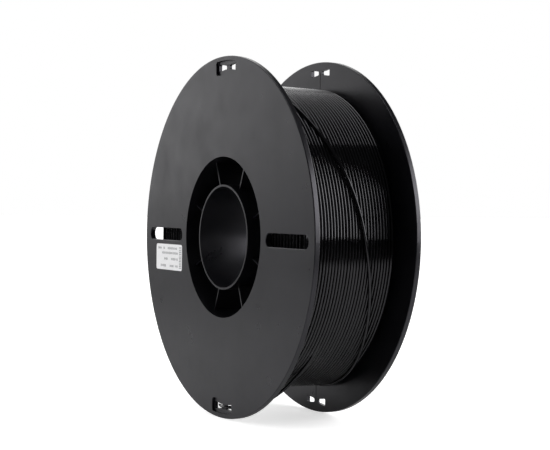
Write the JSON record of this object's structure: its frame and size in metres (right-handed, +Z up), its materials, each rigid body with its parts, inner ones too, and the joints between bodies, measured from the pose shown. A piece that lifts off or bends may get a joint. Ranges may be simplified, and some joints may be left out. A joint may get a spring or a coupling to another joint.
{
  "type": "filament spool",
  "caption": "Round plastic spool with two flat flanges, a ribbed hub with a central bore, two window slots in the near flange and filament clips, wound with thin plastic filament.",
  "frame": {"origin": "middle of the bore, half way along it", "axes": "+Y along the spool's axis from the near flange to the far one, +Z up, the near flange's window slots along X, filament clips along Z"},
  "size_m": [0.2, 0.0645, 0.2],
  "materials": {
    "spool_plastic": "satin moulded plastic",
    "filament": "glossy extruded plastic",
    "sticker": "coated paper sticker"
  },
  "bodies": {
    "root": {"near_half": "spool_plastic", "far_half": "spool_plastic", "wound_filament": "filament", "top_layer": "filament", "crossing_strand": "filament", "filament_tail": "filament", "filament_start": "filament", "label": "sticker"}
  },
  "joints": []
}
